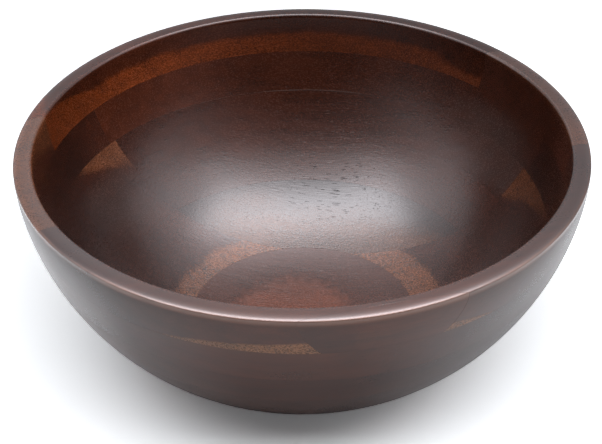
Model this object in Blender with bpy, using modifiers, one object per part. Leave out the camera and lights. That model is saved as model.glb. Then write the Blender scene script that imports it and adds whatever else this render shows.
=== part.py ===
"""Turned wooden bowl, glued up from six layers of edge-glued boards.

Metres, +Z up, origin under the middle of the foot. Each board that is left after turning is one object:
the layer's turned ring, cut to the board's width. The front of the bowl is at -Y.
"""
import math

import bmesh
import bpy

# Turned shape
RIM_RADIUS = 0.150
RIM_WALL = 0.0095
FOOT_RADIUS = 0.045
FLOOR_THICKNESS = 0.0089
OUTER_EDGE_ROUND = 0.0016
INNER_EDGE_ROUND = 0.0022

# Layers, from the rim down: the rings and what turning leaves of the base layer
LAYER_THICKNESS = 0.022
BASE_THICKNESS = 0.015

# Boards: how wide they are, and how far each layer's rear joint lies behind the middle of the bowl
BOARD_WIDTH = 0.104
RIM_JOINT = 0.064
SECOND_JOINT = 0.056
THIRD_JOINT = 0.060
FOURTH_JOINT = 0.058
FIFTH_JOINT = 0.0584
BASE_JOINT = 0.064
EDGE_STRIP_WIDTH = 0.006

# The rim layer was glued on at another angle than the rest of the stack
RIM_GRAIN_ANGLE = math.radians(15.0)
STACK_GRAIN_ANGLE = math.radians(-8.0)

# Open glue line between two boards
JOINT_GAP = 0.0003

# Fullness of the two curves: the larger the first number the flatter the bottom,
# the smaller the second the more the wall leans out at the rim
OUTER_CURVE = (2.55, 1.65)
HOLLOW_CURVE = (3.0, 1.6)

# Facets
TURN_STEPS = 96
SIDE_STEPS = 4
FLOOR_STEPS = 8
EDGE_STEPS = 3
SMOOTH_ANGLE = math.radians(30.0)

# Stained wood: heartwood, mixed boards and boards with pale sapwood
DARK = (0.060, 0.035, 0.024)
BROWN = (0.085, 0.046, 0.028)
PALE = (0.150, 0.075, 0.038)
ROUGHNESS = 0.38

# Ring layers from the rim down: name, grain angle, rear joint, colours of the back, left, right and front boards
RINGS = (
    ("rim", RIM_GRAIN_ANGLE, RIM_JOINT, (PALE, BROWN, BROWN, DARK)),
    ("second", STACK_GRAIN_ANGLE, SECOND_JOINT, (BROWN, DARK, DARK, BROWN)),
    ("third", STACK_GRAIN_ANGLE, THIRD_JOINT, (DARK, BROWN, BROWN, DARK)),
    ("fourth", STACK_GRAIN_ANGLE, FOURTH_JOINT, (DARK, BROWN, DARK, DARK)),
    ("fifth", STACK_GRAIN_ANGLE, FIFTH_JOINT, (DARK, BROWN, BROWN, DARK)),
)

HEIGHT = len(RINGS) * LAYER_THICKNESS + BASE_THICKNESS
HOLLOW_RADIUS = RIM_RADIUS - RIM_WALL
HOLLOW_DEPTH = HEIGHT - INNER_EDGE_ROUND - FLOOR_THICKNESS
OUTER_DEPTH = (HEIGHT - OUTER_EDGE_ROUND) / (
    1.0 - (FOOT_RADIUS / RIM_RADIUS) ** OUTER_CURVE[0]) ** (1.0 / OUTER_CURVE[1])
REACH = 2.0 * RIM_RADIUS
BOARDS_NAME = "wooden_bowl"
CUTTERS_NAME = "board_cutters"


def outer_radius(z):
    """Radius of the outside at height z."""
    depth = max(HEIGHT - OUTER_EDGE_ROUND - z, 0.0) / OUTER_DEPTH
    return RIM_RADIUS * (1.0 - depth ** OUTER_CURVE[1]) ** (1.0 / OUTER_CURVE[0])


def hollow_radius(z):
    """Radius of the hollow at height z."""
    depth = max(HEIGHT - INNER_EDGE_ROUND - z, 0.0) / HOLLOW_DEPTH
    return HOLLOW_RADIUS * (1.0 - depth ** HOLLOW_CURVE[1]) ** (1.0 / HOLLOW_CURVE[0])


def hollow_height(radius):
    """Height of the hollow's surface at a radius near its bottom."""
    fall = (1.0 - (radius / HOLLOW_RADIUS) ** HOLLOW_CURVE[0]) ** (1.0 / HOLLOW_CURVE[1])
    return HEIGHT - INNER_EDGE_ROUND - HOLLOW_DEPTH * fall


def steps(start, end, count):
    """Evenly spaced values from start to end, both included."""
    return [start + (end - start) * i / count for i in range(count + 1)]


def rounded_edge(radius, z, size, turn_from, turn_to):
    """Points of a rounded edge about its centre."""
    return [(radius + size * math.cos(a), z + size * math.sin(a))
            for a in steps(turn_from, turn_to, EDGE_STEPS)]


def ring_profile(index):
    """Cross-section of one ring layer, down its outside and back up its inside."""
    top = HEIGHT - index * LAYER_THICKNESS
    bottom = top - LAYER_THICKNESS + JOINT_GAP / 2.0
    if index:
        top -= JOINT_GAP / 2.0
        outer_edge = []
        inner_edge = []
        outer_top = top
        inner_top = top
    else:
        outer_top = top - OUTER_EDGE_ROUND
        inner_top = top - INNER_EDGE_ROUND
        outer_edge = rounded_edge(RIM_RADIUS - OUTER_EDGE_ROUND, outer_top, OUTER_EDGE_ROUND,
                                  math.pi / 2.0, 0.0)[:-1]
        inner_edge = rounded_edge(HOLLOW_RADIUS + INNER_EDGE_ROUND, inner_top, INNER_EDGE_ROUND,
                                  math.pi, math.pi / 2.0)[1:]
    outside = [(outer_radius(z), z) for z in steps(outer_top, bottom, SIDE_STEPS)]
    inside = [(hollow_radius(z), z) for z in steps(bottom, inner_top, SIDE_STEPS)]
    return outer_edge + outside + inside + inner_edge


def base_profile():
    """Cross-section of the base layer, from the middle of the dish out, down and back to the axis."""
    top = BASE_THICKNESS - JOINT_GAP / 2.0
    dish = [(r, hollow_height(r)) for r in steps(0.0, hollow_radius(top), FLOOR_STEPS)]
    outside = [(outer_radius(z), z) for z in steps(top, 0.0, SIDE_STEPS)]
    return dish + outside + [(0.0, 0.0)]


def new_collection(name):
    """An empty collection in the scene."""
    collection = bpy.data.collections.new(name)
    bpy.context.scene.collection.children.link(collection)
    return collection


def new_material(name, colour):
    """Stained and lacquered wood."""
    material = bpy.data.materials.new(name)
    material.use_nodes = True
    shader = material.node_tree.nodes["Principled BSDF"]
    shader.inputs["Base Color"].default_value = (*colour, 1.0)
    shader.inputs["Roughness"].default_value = ROUGHNESS
    shader.inputs["Metallic"].default_value = 0.0
    return material


def turned(name, profile, closed, collection):
    """An object turned about Z from a cross-section."""
    mesh = bpy.data.meshes.new(name)
    edges = [(i, i + 1) for i in range(len(profile) - 1)]
    if closed:
        edges.append((len(profile) - 1, 0))
    mesh.from_pydata([(r, 0.0, z) for r, z in profile], edges, [])
    piece = bpy.data.objects.new(name, mesh)
    collection.objects.link(piece)
    screw = piece.modifiers.new("turn", 'SCREW')
    screw.axis = 'Z'
    screw.angle = 2.0 * math.pi
    screw.steps = TURN_STEPS
    screw.render_steps = TURN_STEPS
    screw.use_merge_vertices = True
    screw.merge_threshold = 0.00001
    return piece


def board_cutter(name, angle, along, across, collection):
    """A box that keeps one board: its stretch along the grain and across it, at the grain's angle."""
    mesh = bpy.data.meshes.new(name)
    shape = bmesh.new()
    bmesh.ops.create_cube(shape, size=1.0)
    for vertex in shape.verts:
        vertex.co.x = along[0] if vertex.co.x < 0.0 else along[1]
        vertex.co.y = across[0] if vertex.co.y < 0.0 else across[1]
        vertex.co.z = -HEIGHT if vertex.co.z < 0.0 else 2.0 * HEIGHT
    shape.to_mesh(mesh)
    shape.free()
    cutter = bpy.data.objects.new(name, mesh)
    cutter.rotation_euler.z = angle
    cutter.hide_render = True
    cutter.display_type = 'WIRE'
    collection.objects.link(cutter)
    return cutter


def board(name, profile, closed, angle, along, across, colour, boards, cutters):
    """One board: the layer's turned form, cut to the board's width."""
    piece = turned(name, profile, closed, boards)
    cut = piece.modifiers.new("board", 'BOOLEAN')
    cut.operation = 'INTERSECT'
    cut.solver = 'EXACT'
    cut.object = board_cutter("cut_" + name, angle, along, across, cutters)
    piece.data.materials.append(new_material(name, colour))
    return piece


def settle(boards):
    """Keep each board as the mesh its modifiers make, with its turned faces shaded smooth."""
    graph = bpy.context.evaluated_depsgraph_get()
    made = [(piece, bpy.data.meshes.new_from_object(piece.evaluated_get(graph))) for piece in boards.objects]
    for piece, mesh in made:
        piece.modifiers.clear()
        piece.data = mesh
        mesh.name = piece.name
        mesh.shade_smooth()
        mesh.set_sharp_from_angle(angle=SMOOTH_ANGLE)


def build():
    """Make every board of the bowl."""
    for old in list(bpy.data.objects):
        bpy.data.objects.remove(old, do_unlink=True)
    boards = new_collection(BOARDS_NAME)
    cutters = new_collection(CUTTERS_NAME)
    half_gap = JOINT_GAP / 2.0
    whole = (-REACH, REACH)
    left = (-REACH, -half_gap)
    right = (half_gap, REACH)

    for index, (layer, angle, joint, colours) in enumerate(RINGS):
        profile = ring_profile(index)
        front = joint - BOARD_WIDTH
        front_limit = -REACH
        if index == 0:
            strip = EDGE_STRIP_WIDTH - RIM_RADIUS
            front_limit = strip + half_gap
            board("rim_edge_strip", profile, True, angle, whole, (-REACH, strip - half_gap),
                  DARK, boards, cutters)
        behind = (joint + half_gap, REACH)
        middle = (front + half_gap, joint - half_gap)
        before = (front_limit, front - half_gap)
        board(layer + "_back_board", profile, True, angle, whole, behind, colours[0], boards, cutters)
        board(layer + "_left_board", profile, True, angle, left, middle, colours[1], boards, cutters)
        board(layer + "_right_board", profile, True, angle, right, middle, colours[2], boards, cutters)
        board(layer + "_front_board", profile, True, angle, whole, before, colours[3], boards, cutters)

    profile = base_profile()
    front = BASE_JOINT - BOARD_WIDTH
    board("base_back_board", profile, False, STACK_GRAIN_ANGLE, whole,
          (BASE_JOINT + half_gap, REACH), DARK, boards, cutters)
    board("base_centre_board", profile, False, STACK_GRAIN_ANGLE, whole,
          (front + half_gap, BASE_JOINT - half_gap), PALE, boards, cutters)
    board("base_front_board", profile, False, STACK_GRAIN_ANGLE, whole,
          (-REACH, front - half_gap), DARK, boards, cutters)
    settle(boards)


build()
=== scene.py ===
"""Turned wooden bowl of glued boards, with its stained finish and a plain studio.

Laid out as a Blender add-on and run as a script. Metres, +Z up, the front of the bowl at -Y.
"""

import math

import bpy
import numpy as np
from bpy.props import FloatProperty, FloatVectorProperty, PointerProperty
from mathutils import Matrix, Vector


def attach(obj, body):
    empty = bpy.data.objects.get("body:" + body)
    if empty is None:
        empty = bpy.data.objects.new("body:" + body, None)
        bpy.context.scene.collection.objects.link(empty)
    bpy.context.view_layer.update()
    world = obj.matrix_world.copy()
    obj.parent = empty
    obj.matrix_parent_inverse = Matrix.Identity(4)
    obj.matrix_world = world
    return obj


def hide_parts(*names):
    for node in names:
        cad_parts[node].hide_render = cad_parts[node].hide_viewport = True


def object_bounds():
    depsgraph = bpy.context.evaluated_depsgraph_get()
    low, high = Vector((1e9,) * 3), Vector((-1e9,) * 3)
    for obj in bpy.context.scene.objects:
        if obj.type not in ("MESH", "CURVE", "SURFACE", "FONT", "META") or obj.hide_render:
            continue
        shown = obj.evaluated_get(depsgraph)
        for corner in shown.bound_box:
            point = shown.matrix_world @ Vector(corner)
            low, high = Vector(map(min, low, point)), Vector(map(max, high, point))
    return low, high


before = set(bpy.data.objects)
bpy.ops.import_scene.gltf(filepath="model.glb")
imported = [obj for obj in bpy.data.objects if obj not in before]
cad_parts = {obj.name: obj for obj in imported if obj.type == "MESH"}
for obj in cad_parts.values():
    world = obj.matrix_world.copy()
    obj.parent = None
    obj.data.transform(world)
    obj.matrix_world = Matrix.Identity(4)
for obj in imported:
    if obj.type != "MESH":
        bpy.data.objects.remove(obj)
CAD_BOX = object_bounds()

bl_info = {
    "name": "Turned Wooden Bowl",
    "version": (1, 0, 0),
    "blender": (4, 5, 0),
    "location": "View3D > Sidebar > Bowl",
    "description": "Builds a bowl turned from six layers of glued boards, its finish and a studio",
    "category": "Object",
}

LAYERS = ("rim", "second", "third", "fourth", "fifth", "base")

# Fineness of the turned surfaces: the turn from column to column and the least number of columns, the rows
# down the side of a layer and over each half of the rim's crown, the chords of a base board, and the places
# along half a chord over the foot, on to the edge of the hollow and on to the edge of the layer; and the
# angle from which an edge is sharp
COLUMN_STEP = math.radians(0.6)
LEAST_COLUMNS = 8
SIDE_ROWS = 26
CROWN_ROWS = 12
BASE_CHORDS = 110
BASE_PLACES = (36, 14, 19)
CREASE = math.radians(9.0)

# Where surfaces stop short so that no face shrinks to nothing: the turn of a crown's half from its outer
# edge, the half turn of the planed flat, the thickness of the strip or half length of a chord, the shares
# of the strip's and the base's reach that are used, and the thickness of the base's sharp upper edge
CROWN_TURN = 0.47 * math.pi
LEAST_FLAT = 0.02
LEAST_WOOD = 0.0004
STRIP_REACH = 0.995
BASE_REACH = 0.9995
SHARP_EDGE = 0.00001

# Patterns of the grain: how often each one repeats in a metre along the board, across it and upwards
STREAKS = (7.0, 190.0, 190.0)
FIBRES = (60.0, 1300.0, 1300.0)
PORES = (120.0, 2000.0, 2000.0)
FLECKS = (130.0, 1700.0, 1700.0)
SPECKLES = (900.0, 1900.0, 1900.0)
BLOTCHES = (14.0, 26.0, 26.0)
SLOW_EDGE = (30.0, 60.0, 60.0)
FINE_EDGE = (400.0, 800.0, 800.0)
SWAYS = 16.0
PATCH_EDGE = 260.0

# The spread and the least of the pores' size, and the ranges over which a pore, a fleck and the speckle
# show: by the distance from the middle, by chance, or by the noise
PORE_SIZE = (0.22, 0.06)
PORE_RANGE = (1.3, 0.5)
PORE_CHANCE = (0.35, 0.65)
FLECK_RANGE = (0.26, 0.06)
FLECK_CHANCE = (0.78, 0.98)
SPECKLE_RANGE = (0.34, 0.66)

# How far a board's seed moves its grain, how far the grain sways, the share of the fine noise in a sapwood
# edge and of the noise in a patch's edge, and a part of the grain for each board of a layer
SEED_SHIFT = (0.37, 0.61, 0.83)
SWAY = (0.0, 0.008, 0.008)
FINE_SHARE = 1.2
PATCH_SHARE = 0.5
SEEDS = {"back": 0.1, "left": 0.3, "right": 0.3, "centre": 0.3, "front": 0.5, "edge": 0.7}

# What the finish fills of the grain on the outside, and what each part of the grain does to the tone, the
# roughness, the lacquer and the height of the surface
FILLING = -0.7
TONE_BY = {"blotch": 0.8, "fibre": 0.4, "sapwood speckle": 0.8, "pores": -0.6}
ROUGHNESS_BY = {"blotch": 0.10, "pores": 0.15, "sparkle": 0.10}
LACQUER_BY_PORES = -0.6
HEIGHT_BY = {"pores": -1.0, "fibre": 0.6, "streak": 0.8, "sapwood speckle": 0.5}
WOOD_IOR = 1.5

# Colour of the painted glints, strength of the glints painted on raised flecks and of the highlight painted
# along a board's proud top edge, the depths below the top of its board between which that highlight fades,
# and the strength of the pores, usually and in a patch of open pores
PAINTED_GLINT = (0.42, 0.36, 0.34, 1.0)
FLECK_STRENGTH = 0.6
EDGE_GLINT_STRENGTH = 0.2
EDGE_GLINT_DEPTH = (0.0003, 0.0001)
USUAL_PORES = 0.25
OPEN_PORES = 2.2

# Changes over the rim's rounded edge, each from one height to another below the top of the flat boards: the
# start of its top, the tone from the outer to the inner side of its upper face, which is partly the wood's
# colour and partly painted light over the rounded crown, the lower and upper end of the worn line, and the
# lower and upper end of the thicker lacquer; and the blotches that thin the worn line, with its strength
# there
RIM_TOP = (-0.0045, -0.0020)
UPPER_FACE = (-0.0002, 0.0004)
WORN_FROM = (-0.0048, -0.0022)
WORN_TO = (-0.0002, -0.0008)
COATED_FROM = (-0.0035, -0.0015)
COATED_TO = (-0.0009, 0.0002)
WORN_BLOTCH = (0.35, 0.6, 0.3, 1.0)

# Tones are read along a span of this many metres and reach up to this limit
TONE_SPAN = 0.3
TONE_LIMIT = 2.0

# The floor: half its side. By distance from the middle of the bowl, each with the values at both ends: its
# painted shade under the bowl in reflections, its painted fall far away, the strength of the light painted on
# its sides, and the white beyond the view. By direction, from the left at -1 to the right at 1: the start of
# the painted light on the sides, and its two changes.
FLOOR_REACH = 6.0
FLOOR_SHADE = (0.12, 0.24, 0.35, 1.0)
FLOOR_FALL = (0.35, 0.80, 1.0, 0.35)
FLOOR_SIDES = (0.12, 0.26, 2.0, 0.55)
FLOOR_WHITE = (0.45, 0.90)
SIDES_START = (0.2, 1.0)
SIDES_LEFT = (-1.0, -0.80, 1.35, 0.70)
SIDES_RIGHT = (-0.2, 0.2, 0.0, 0.15)
FLOOR_TINT = (0.96, 0.98, 1.02)

# Lamps: place, aim, size and share of the softbox's power
LAMPS = {
    "softbox": ((0.09, -0.53, 1.10), (0.09, -0.53, 0.0), (1.7, 0.8), 1.0),
    "right_fill": ((1.3, 0.2, 0.7), (0.0, 0.0, 0.05), (1.0, 1.0), 0.22),
    "front_fill": ((0.0, -1.4, 0.6), (0.0, 0.0, 0.05), (1.0, 1.0), 0.22),
}

# The white surroundings start behind the bowl. Reflections show a share of them, by the rise of the
# direction: much near the level, little above it and more overhead. The soft light is not followed below
# the least rise. The camera's sensor is measured in millimetres.
SURROUND_START = (-0.1, 0.1)
LOW_SHARE = (0.15, 0.36, 1.50, 0.25)
HIGH_SHARE = (0.48, 0.62, 0.0, 0.70)
LEAST_RISE = 0.02
SENSOR_WIDTH = 36.0

# Layout of a node tree
NODE_STEP = (190.0, -260.0)
NODES_ABREAST = 12

# The soft light as reflections show it: how far right and how far back of straight up, for a rise of one,
# its reach each way, the sharpness of its fall-off and its level. Some levels were first fitted to the photo.
SHEEN = (
    (-0.39, -0.11, 0.42, 0.30, 4.0, 7.7),
    (0.38, -0.10, 0.42, 0.34, 4.0, 7.3),
    (-0.03, 0.03, 0.22, 0.20, 2.0, 0.5),
    (-0.38, 1.15, 0.28, 0.30, 2.0, 0.6),
    (0.18, 0.08, 0.30, 0.22, 2.0, 1.7),
    (0.05, 0.25, 0.46, 0.35, 4.0, 1.5),
    (0.00, -0.35, 1.00, 0.40, 2.0, 0.6),
    (-0.80, -0.62, 0.35, 0.26, 2.0, 1.6),
    (0.90, -0.62, 0.38, 0.26, 2.0, 1.6),
    (-1.35, -0.05, 0.45, 0.45, 2.0, 0.4),
    (1.35, -0.05, 0.45, 0.45, 2.0, 0.7),
    (0.00, -0.35, 1.80, 0.60, 2.0, 3.4),
    (0.08, 0.60, 0.50, 0.35, 2.0, 1.15),
    (0.60, 0.30, 0.35, 0.50, 2.0, 0.6),
    (-0.60, -0.30, 0.35, 0.40, 2.0, 1.45),
    (-0.08, 1.36, 0.36, 0.16, 2.0, 2.30),
    (-3.0, -1.60, 2.00, 1.00, 2.0, 0.95),
    (3.0, -1.60, 2.00, 1.00, 2.0, 0.95),
    (-3.6, 0.30, 2.40, 1.10, 2.0, 2.4),
    (3.6, 0.30, 2.40, 1.10, 2.0, 2.3),
    (-3.2, -0.70, 1.00, 0.60, 2.0, 0.40),
    (3.4, -0.70, 1.00, 0.60, 2.0, 0.30),
    (-5.0, -3.40, 2.50, 1.80, 2.0, 1.1),
    (5.0, -3.40, 2.50, 1.80, 2.0, 0.55),
    (-1.20, 2.45, 0.75, 0.80, 2.0, 1.4),
    (-0.25, 1.92, 0.22, 0.25, 2.0, 0.20),
    (1.00, 2.10, 0.60, 0.80, 2.0, 1.0),
)


class BowlShape(bpy.types.PropertyGroup):
    """Turned outline of the bowl and the layout of its boards."""

    rim_radius: FloatProperty(
        name="Rim radius", description="Outer radius at the rim",
        default=CAD_BOX[1].x, min=0.05, unit='LENGTH')
    height: FloatProperty(
        name="Height", description="Height of the rim over the table",
        default=CAD_BOX[1].z, min=0.03, unit='LENGTH')
    rim_wall: FloatProperty(
        name="Rim wall", description="Thickness of the wall at the rim",
        default=0.0099, min=0.003, unit='LENGTH')
    foot_radius: FloatProperty(
        name="Foot radius", description="Radius of the flat foot",
        default=0.045, min=0.01, unit='LENGTH')
    floor_thickness: FloatProperty(
        name="Floor thickness", description="Thickness of the wood under the middle of the hollow",
        default=0.0089, min=0.002, unit='LENGTH')
    outer_round: FloatProperty(
        name="Outer edge", description="Depth below the top at which the outside's curve starts",
        default=0.0016, min=0.0002, unit='LENGTH')
    inner_round: FloatProperty(
        name="Inner edge", description="Depth below the top at which the hollow's curve starts",
        default=0.0022, min=0.0002, unit='LENGTH')
    crown: FloatProperty(
        name="Crown", description="Distance of the rim's highest line from its outer edge",
        default=0.0083, min=0.001, unit='LENGTH')
    crown_rise: FloatProperty(
        name="Crown rise",
        description="How far the rim's highest line stands over the top of the flat boards",
        default=0.0005, min=0.0, unit='LENGTH')
    crown_drop: FloatProperty(
        name="Crown drop", description="How far the rim's top falls from the crown to its outer edge",
        default=0.0019, min=0.0002, unit='LENGTH')
    crown_inner_drop: FloatProperty(
        name="Inner crown drop",
        description="How far the rim's top falls from the flat boards' top to its inner edge",
        default=0.0020, min=0.0002, unit='LENGTH')
    crown_curve: FloatProperty(
        name="Crown curve", description="Squareness of the rim's rounded top, 2 for an ellipse",
        default=2.2, min=1.5)
    outer_curve: FloatVectorProperty(
        name="Outer curve", description="Fullness of the outside at the bottom, and its lean at the rim",
        size=2, default=(2.55, 1.65))
    hollow_curve: FloatVectorProperty(
        name="Hollow curve", description="Fullness of the hollow at the bottom, and its lean at the rim",
        size=2, default=(3.0, 1.6))
    layer: FloatProperty(
        name="Layer", description="Thickness of one glued layer",
        default=0.022, min=0.005, unit='LENGTH')
    board_width: FloatProperty(
        name="Board width", description="Width of a layer's middle board",
        default=0.104, min=0.02, unit='LENGTH')
    rear_joints: FloatVectorProperty(
        name="Rear joints",
        description="Distance of each layer's rear joint behind the axis, from the rim down",
        size=6, default=(0.064, 0.056, 0.060, 0.058, 0.0584, 0.064), unit='LENGTH')
    edge_strip: FloatProperty(
        name="Edge strip", description="Width of the thin strip at the front of the rim layer",
        default=0.006, min=0.001, unit='LENGTH')
    rim_grain: FloatProperty(
        name="Rim grain", description="Direction of the rim layer's grain",
        default=math.radians(15.0), subtype='ANGLE')
    stack_grain: FloatProperty(
        name="Stack grain", description="Direction of the grain in the layers under the rim",
        default=math.radians(-8.0), subtype='ANGLE')
    glue_line: FloatProperty(
        name="Glue line", description="Open width of a glue line between two boards",
        default=0.00003, min=0.0, unit='LENGTH')
    proud: FloatProperty(
        name="Proud board",
        description="How far the third layer's back board stands out of the hollow's wall",
        default=0.0001, min=0.0, unit='LENGTH')


class BowlFinish(bpy.types.PropertyGroup):
    """Colours and gloss of the stained and lacquered wood."""

    heart: FloatVectorProperty(
        name="Heartwood", description="Dark stained heartwood",
        subtype='COLOR', size=3, min=0.0, max=1.0, default=(0.036, 0.009, 0.004))
    heart_red: FloatVectorProperty(
        name="Red heartwood", description="Warmer boards of heartwood",
        subtype='COLOR', size=3, min=0.0, max=1.0, default=(0.076, 0.018, 0.007))
    sap: FloatVectorProperty(
        name="Sapwood", description="Orange sapwood under the stain",
        subtype='COLOR', size=3, min=0.0, max=1.0, default=(0.207, 0.043, 0.009))
    sap_dull: FloatVectorProperty(
        name="Dull sapwood", description="Sapwood that took more of the stain",
        subtype='COLOR', size=3, min=0.0, max=1.0, default=(0.165, 0.055, 0.021))
    sap_tan: FloatVectorProperty(
        name="Tan sapwood", description="Pale streak of sapwood on the outside",
        subtype='COLOR', size=3, min=0.0, max=1.0, default=(0.225, 0.090, 0.036))
    edge_wear: FloatVectorProperty(
        name="Worn edge", description="Wood that shows where the finish is thin along the rim's outer edge",
        subtype='COLOR', size=3, min=0.0, max=1.0, default=(0.260, 0.110, 0.065))
    roughness: FloatProperty(
        name="Roughness", description="Roughness of the wood under the lacquer",
        default=0.24, min=0.0, max=1.0, subtype='FACTOR')
    lacquer: FloatProperty(
        name="Lacquer", description="Weight of the clear lacquer coat in the hollow",
        default=0.2, min=0.0, max=1.0, subtype='FACTOR')
    lacquer_roughness: FloatProperty(
        name="Lacquer roughness", description="Roughness of the clear lacquer coat",
        default=0.24, min=0.0, max=1.0, subtype='FACTOR')
    rim_lacquer: FloatProperty(
        name="Rim lacquer", description="Weight of the clear lacquer coat on the rim's rounded top",
        default=0.35, min=0.0, max=1.0, subtype='FACTOR')
    outside_roughness: FloatProperty(
        name="Outside roughness", description="Roughness of the finish on the outside",
        default=0.30, min=0.0, max=1.0, subtype='FACTOR')
    outside_lacquer: FloatProperty(
        name="Outside lacquer", description="Weight of the clear lacquer coat on the outside",
        default=0.1, min=0.0, max=1.0, subtype='FACTOR')
    edge_lacquer: FloatProperty(
        name="Edge lacquer", description="Weight of the clear lacquer coat on the rim's rounded outer edge",
        default=0.9, min=0.0, max=1.0, subtype='FACTOR')
    outside_tone: FloatProperty(
        name="Outside tone", description="Tone of the stain on the outside against the hollow's",
        default=0.75, min=0.0)
    pore_depth: FloatProperty(
        name="Pore depth", description="Depth of the open pores",
        default=0.00011, min=0.0, unit='LENGTH')


class BowlStudio(bpy.types.PropertyGroup):
    """Floor, light and camera."""

    floor: FloatVectorProperty(
        name="Floor", description="Colour of the floor as the bowl sees it",
        subtype='COLOR', size=3, min=0.0, max=1.0, default=(0.838, 0.862, 0.890))
    floor_shown: FloatProperty(
        name="Shown floor", description="Brightness of the floor to the camera",
        default=2.5, min=0.0)
    floor_mirrored: FloatProperty(
        name="Mirrored floor", description="Brightness of the open floor in reflections",
        default=1.30, min=0.0)
    softbox: FloatProperty(
        name="Softbox", description="Power of the softbox over the bowl",
        default=11.4, min=0.0, unit='POWER')
    sheen: FloatProperty(
        name="Sheen", description="Brightness of the soft light in reflections",
        default=1.0, min=0.0)
    sheen_tint: FloatVectorProperty(
        name="Sheen tint", description="Colour of the soft light in reflections",
        subtype='COLOR', size=3, min=0.0, max=1.0, default=(0.97, 0.95, 1.0))
    surround: FloatProperty(
        name="Surround", description="Brightness of the white surroundings",
        default=0.47, min=0.0)
    camera_place: FloatVectorProperty(
        name="Camera", description="Where the camera stands",
        subtype='TRANSLATION', size=3, unit='LENGTH', default=(0.0, -0.8367, 0.6557))
    camera_pitch: FloatProperty(
        name="Pitch", description="How far the camera looks down",
        default=0.60605, subtype='ANGLE')
    camera_yaw: FloatProperty(
        name="Yaw", description="How far the camera looks to the right",
        default=-0.0010, subtype='ANGLE')
    camera_roll: FloatProperty(
        name="Roll", description="How far the camera leans to the left",
        default=-0.0089, subtype='ANGLE')
    camera_lens: FloatProperty(
        name="Lens", description="Focal length on a 36 mm wide sensor, in millimetres",
        default=113.42, min=1.0)


def outer_radius(shape, z):
    """Outside radius at height z: rim radius times (1 - depth^lean)^(1/fullness), with depth 0 at the rim."""
    fullness, lean = shape.outer_curve
    top = shape.height - shape.outer_round
    foot = 1.0 - (shape.foot_radius / shape.rim_radius) ** fullness
    depth = np.clip((top - z) / top, 0.0, None) * foot ** (1.0 / lean)
    return shape.rim_radius * (1.0 - depth ** lean) ** (1.0 / fullness)


def outer_height(shape, radius):
    """Height of the outside at a radius, the outer curve solved for z; the flat foot lies at zero."""
    fullness, lean = shape.outer_curve
    top = shape.height - shape.outer_round
    foot = 1.0 - (shape.foot_radius / shape.rim_radius) ** fullness
    fall = 1.0 - (np.minimum(radius, shape.rim_radius) / shape.rim_radius) ** fullness
    return np.maximum(top - top * (fall / foot) ** (1.0 / lean), 0.0)


def hollow_size(shape):
    """Radius of the hollow at the rim, its depth, and the height at which its curve starts."""
    start = shape.height - shape.inner_round
    return shape.rim_radius - shape.rim_wall, start - shape.floor_thickness, start


def hollow_radius(shape, z):
    """Radius of the hollow at height z, by the same kind of curve as the outside."""
    fullness, lean = shape.hollow_curve
    radius, depth, start = hollow_size(shape)
    fall = np.clip((start - z) / depth, 0.0, 1.0)
    return radius * (1.0 - fall ** lean) ** (1.0 / fullness)


def hollow_height(shape, radius):
    """Height of the hollow's surface at a radius, the hollow's curve solved for z."""
    fullness, lean = shape.hollow_curve
    rim, depth, start = hollow_size(shape)
    fall = 1.0 - (np.minimum(radius, rim) / rim) ** fullness
    return start - depth * fall ** (1.0 / lean)


def ring_sides(shape, index, proud=0.0):
    """Outer and inner edge of a ring layer's cross-section, as lists of radius and height from the top down.

    The rim layer starts with the two quarters of its rounded crown, cos(turn)^(2/squareness) outwards or
    inwards by sin(turn)^(2/squareness) up; every other row follows the two turned curves.
    """
    gap = shape.glue_line / 2.0
    top = shape.height - index * shape.layer + (-gap if index else shape.crown_rise)
    bottom = shape.height - (index + 1) * shape.layer + gap
    outer_z = np.linspace(top - (0.0 if index else shape.crown_drop), bottom, SIDE_ROWS)
    inner_drop = shape.crown_rise + shape.crown_inner_drop
    inner_z = np.linspace(top - (0.0 if index else inner_drop), bottom, SIDE_ROWS)
    outer = np.stack([outer_radius(shape, outer_z), outer_z], axis=1)
    inner = np.stack([hollow_radius(shape, inner_z) - proud, inner_z], axis=1)
    if index == 0:
        turn = np.linspace(CROWN_TURN, 0.0, CROWN_ROWS, endpoint=False)
        arc = np.stack([np.cos(turn), np.sin(turn)], axis=1) ** (2.0 / shape.crown_curve)
        middle = shape.rim_radius - shape.crown
        outer_quarter = (outer[0, 0] - middle, shape.crown_drop)
        inner_quarter = (inner[0, 0] - middle, inner_drop)
        outer = np.concatenate([(middle, outer[0, 1]) + outer_quarter * arc, outer])
        inner = np.concatenate([(middle, inner[0, 1]) + inner_quarter * arc, inner])
    return outer, inner


def loop_mesh(name, points, outside=(1.0, 0.0)):
    """Mesh of a grid whose rows run round closed loops: quads between neighbours, and a ladder at each end.

    The first half of a loop is one side of the board and the second half the other side on the way back. The
    attribute "outside" holds one value for each half: 1 on the outside of the bowl, 0 in the hollow.
    """
    columns, rows = points.shape[:2]
    place = np.arange(columns * rows).reshape(columns, rows)
    here, ahead = place[:-1], place[1:]
    side = np.stack([here, np.roll(here, -1, 1), np.roll(ahead, -1, 1), ahead], axis=-1).reshape(-1, 4)
    down = np.arange(rows // 2 - 1)
    up = rows - 1 - down
    first, last = place[0], place[-1]
    start = np.stack([first[down], first[up], first[up - 1], first[down + 1]], axis=1)
    end = np.stack([last[down], last[down + 1], last[up - 1], last[up]], axis=1)
    mesh = bpy.data.meshes.new(name)
    mesh.from_pydata(points.reshape(-1, 3), [], np.concatenate([side, start, end]))
    mesh.validate()
    side = np.tile(np.repeat(outside, rows // 2), columns).astype(np.float32)
    mesh.attributes.new("outside", 'FLOAT', 'POINT').data.foreach_set("value", side)
    mesh.shade_smooth()
    mesh.set_sharp_from_angle(angle=CREASE)
    return mesh


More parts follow.
